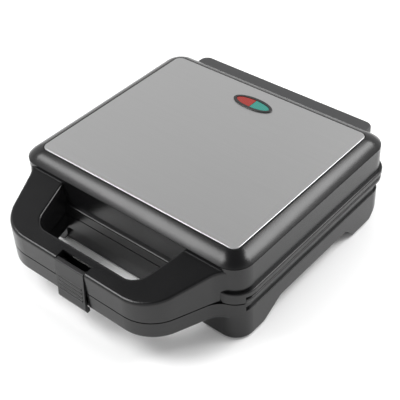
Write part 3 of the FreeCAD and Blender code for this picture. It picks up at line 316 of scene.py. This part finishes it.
class PRESS_OT_hardware(bpy.types.Operator):
    """Finish the brackets, pins, clamps and screws in zinc-plated steel"""
    bl_idname = "press.hardware"
    bl_label = "Hinges and screws"

    def execute(self, context):
        zinc = Finish("zinc_steel", (0.62, 0.62, 0.60), 0.34, 1.0)
        zinc.tint(zinc.noise(4 * MM, 5.0), (0.52, 0.52, 0.50), (0.68, 0.68, 0.66))
        zinc.rough(zinc.noise(2 * MM, 5.0), 0.26, 0.46)
        zinc.bump(zinc.noise(0.6 * MM, 3.0), 0.01 * MM, 0.5)
        give(zinc.material, "lower_heater_clamps", "upper_heater_clamps", "lower_plate_screws",
             "upper_plate_screws", "base_hinge_screws", "lid_hinge_screws", "base_hinge_bracket_left",
             "base_hinge_bracket_right", "lid_hinge_bracket_left", "lid_hinge_bracket_right",
             "hinge_pin_left", "hinge_pin_right", "latch_pin")
        return {"FINISHED"}


class PRESS_OT_rubber(bpy.types.Operator):
    """Finish the feet and the cord bush in matt rubber"""
    bl_idname = "press.rubber"
    bl_label = "Feet and cord bush"

    def execute(self, context):
        rubber = Finish("foot_rubber", (0.020, 0.020, 0.020), 0.75)
        rubber.tint(rubber.noise(3 * MM, 5.0), (0.014, 0.014, 0.014), (0.040, 0.039, 0.037))
        rubber.bump(rubber.noise(0.4 * MM, 3.0), 0.03 * MM, 0.6)
        give(rubber.material, "foot_front_left", "foot_front_right", "foot_rear_left", "foot_rear_right",
             "cord_inlet_bush")
        return {"FINISHED"}


# ---------------------------------------------------------------- stage
def add_light(name, toward, distance, size, power, aim):
    """A large rectangular light in a direction from the aim, facing it."""
    data = bpy.data.lights.new(name, "AREA")
    data.shape = "RECTANGLE"
    data.size, data.size_y = size
    data.energy = power
    light = bpy.data.objects.new(name, data)
    way = Vector(toward).normalized()
    light.location = Vector(aim) + way * distance
    light.rotation_mode = "QUATERNION"
    light.rotation_quaternion = way.to_track_quat("Z", "Y")
    bpy.context.scene.collection.objects.link(light)
    return light


def studio_world(strength):
    """Soft light from all round: pale walls up to head height, a dark ceiling."""
    world = bpy.data.worlds.new("studio")
    world.use_nodes = True
    nodes = world.node_tree.nodes
    links = world.node_tree.links
    place = nodes.new("ShaderNodeTexCoord")
    split = nodes.new("ShaderNodeSeparateXYZ")
    ramp = nodes.new("ShaderNodeValToRGB")
    ramp.color_ramp.interpolation = "EASE"
    stops = ((0.0, 1.0), (0.50, 0.85), (0.68, 0.66), (0.79, 0.10), (1.0, 0.04))
    for position, level in stops[1:-1]:
        ramp.color_ramp.elements.new(position)
    for element, (position, level) in zip(ramp.color_ramp.elements, stops):
        element.position = position
        element.color = (level, level, level, 1.0)
    links.new(place.outputs["Generated"], split.inputs["Vector"])
    links.new(split.outputs["Z"], ramp.inputs["Fac"])
    links.new(ramp.outputs["Color"], nodes["Background"].inputs["Color"])
    nodes["Background"].inputs["Strength"].default_value = strength
    bpy.context.scene.world = world


class PRESS_OT_stage(bpy.types.Operator):
    """Lay the floor, light the studio and place the camera"""
    bl_idname = "press.stage"
    bl_label = "Stage"

    def execute(self, context):
        values = context.scene.press_stage
        scene = context.scene
        half = values.floor_size / 2
        mesh = bpy.data.meshes.new("floor")
        mesh.from_pydata([(-half, -half, 0), (half, -half, 0), (half, half, 0), (-half, half, 0)], [], [(0, 1, 2, 3)])
        floor = bpy.data.objects.new("floor", mesh)
        scene.collection.objects.link(floor)
        paint = Finish("floor_paint", tuple(values.floor_colour), 0.55)
        paint.rough(paint.noise(0.4), 0.5, 0.6)
        mesh.materials.append(paint.material)
        studio_world(values.soft_light)
        aim = Vector(values.aim)
        add_light("left_front_light", (-0.51, -0.40, 0.76), 1.5, (0.8, 0.6), values.side_power, aim)
        add_light("right_rear_light", (0.42, 0.57, 0.71), 1.5, (0.8, 0.6), values.side_power, aim)
        fill = add_light("ceiling_fill", (0.0, 0.0, 1.0), 2.0, (3.0, 3.0), values.fill_power, aim)
        fill.visible_glossy = False
        back = Vector((math.sin(values.azimuth) * math.cos(values.elevation),
                       -math.cos(values.azimuth) * math.cos(values.elevation), math.sin(values.elevation)))
        right = Vector((math.cos(values.azimuth), math.sin(values.azimuth), 0.0))
        up = back.cross(right)
        turned_right = right * math.cos(values.roll) + up * math.sin(values.roll)
        turned_up = up * math.cos(values.roll) - right * math.sin(values.roll)
        data = bpy.data.cameras.new("camera")
        data.sensor_width = 36.0
        data.lens = values.lens
        camera = bpy.data.objects.new("camera", data)
        axes = Matrix((turned_right, turned_up, back)).transposed().to_4x4()
        camera.matrix_world = Matrix.Translation(aim + back * values.distance) @ axes
        scene.collection.objects.link(camera)
        scene.camera = camera
        scene.view_settings.view_transform = "Standard"
        return {"FINISHED"}


# ---------------------------------------------------------------- panel and registration
STEPS = (PRESS_OT_stage, PRESS_OT_shells, PRESS_OT_hinge_cover, PRESS_OT_trim, PRESS_OT_indicator,
         PRESS_OT_plates, PRESS_OT_heating, PRESS_OT_hardware, PRESS_OT_rubber)


class PRESS_PT_panel(bpy.types.Panel):
    """Buttons for each step and the values they use"""
    bl_idname = "PRESS_PT_panel"
    bl_label = "Panini press"
    bl_space_type = "VIEW_3D"
    bl_region_type = "UI"
    bl_category = "Press"

    def draw(self, context):
        for group in (context.scene.press_finish, context.scene.press_stage):
            for name in group.__annotations__:
                self.layout.prop(group, name)
        for step in STEPS:
            self.layout.operator(step.bl_idname)


CLASSES = (PRESS_PG_finish, PRESS_PG_stage) + STEPS + (PRESS_PT_panel,)


def register():
    """Register the classes and hang the values on the scene."""
    for each in CLASSES:
        bpy.utils.register_class(each)
    bpy.types.Scene.press_finish = bpy.props.PointerProperty(type=PRESS_PG_finish)
    bpy.types.Scene.press_stage = bpy.props.PointerProperty(type=PRESS_PG_stage)


def unregister():
    """Take the values and the classes away again."""
    del bpy.types.Scene.press_stage
    del bpy.types.Scene.press_finish
    for each in reversed(CLASSES):
        bpy.utils.unregister_class(each)


def main():
    """Run every step in order."""
    register()
    bpy.ops.press.stage()
    bpy.ops.press.shells()
    bpy.ops.press.hinge_cover()
    bpy.ops.press.trim()
    bpy.ops.press.indicator()
    bpy.ops.press.plates()
    bpy.ops.press.heating()
    bpy.ops.press.hardware()
    bpy.ops.press.rubber()


if __name__ == "__main__":
    main()
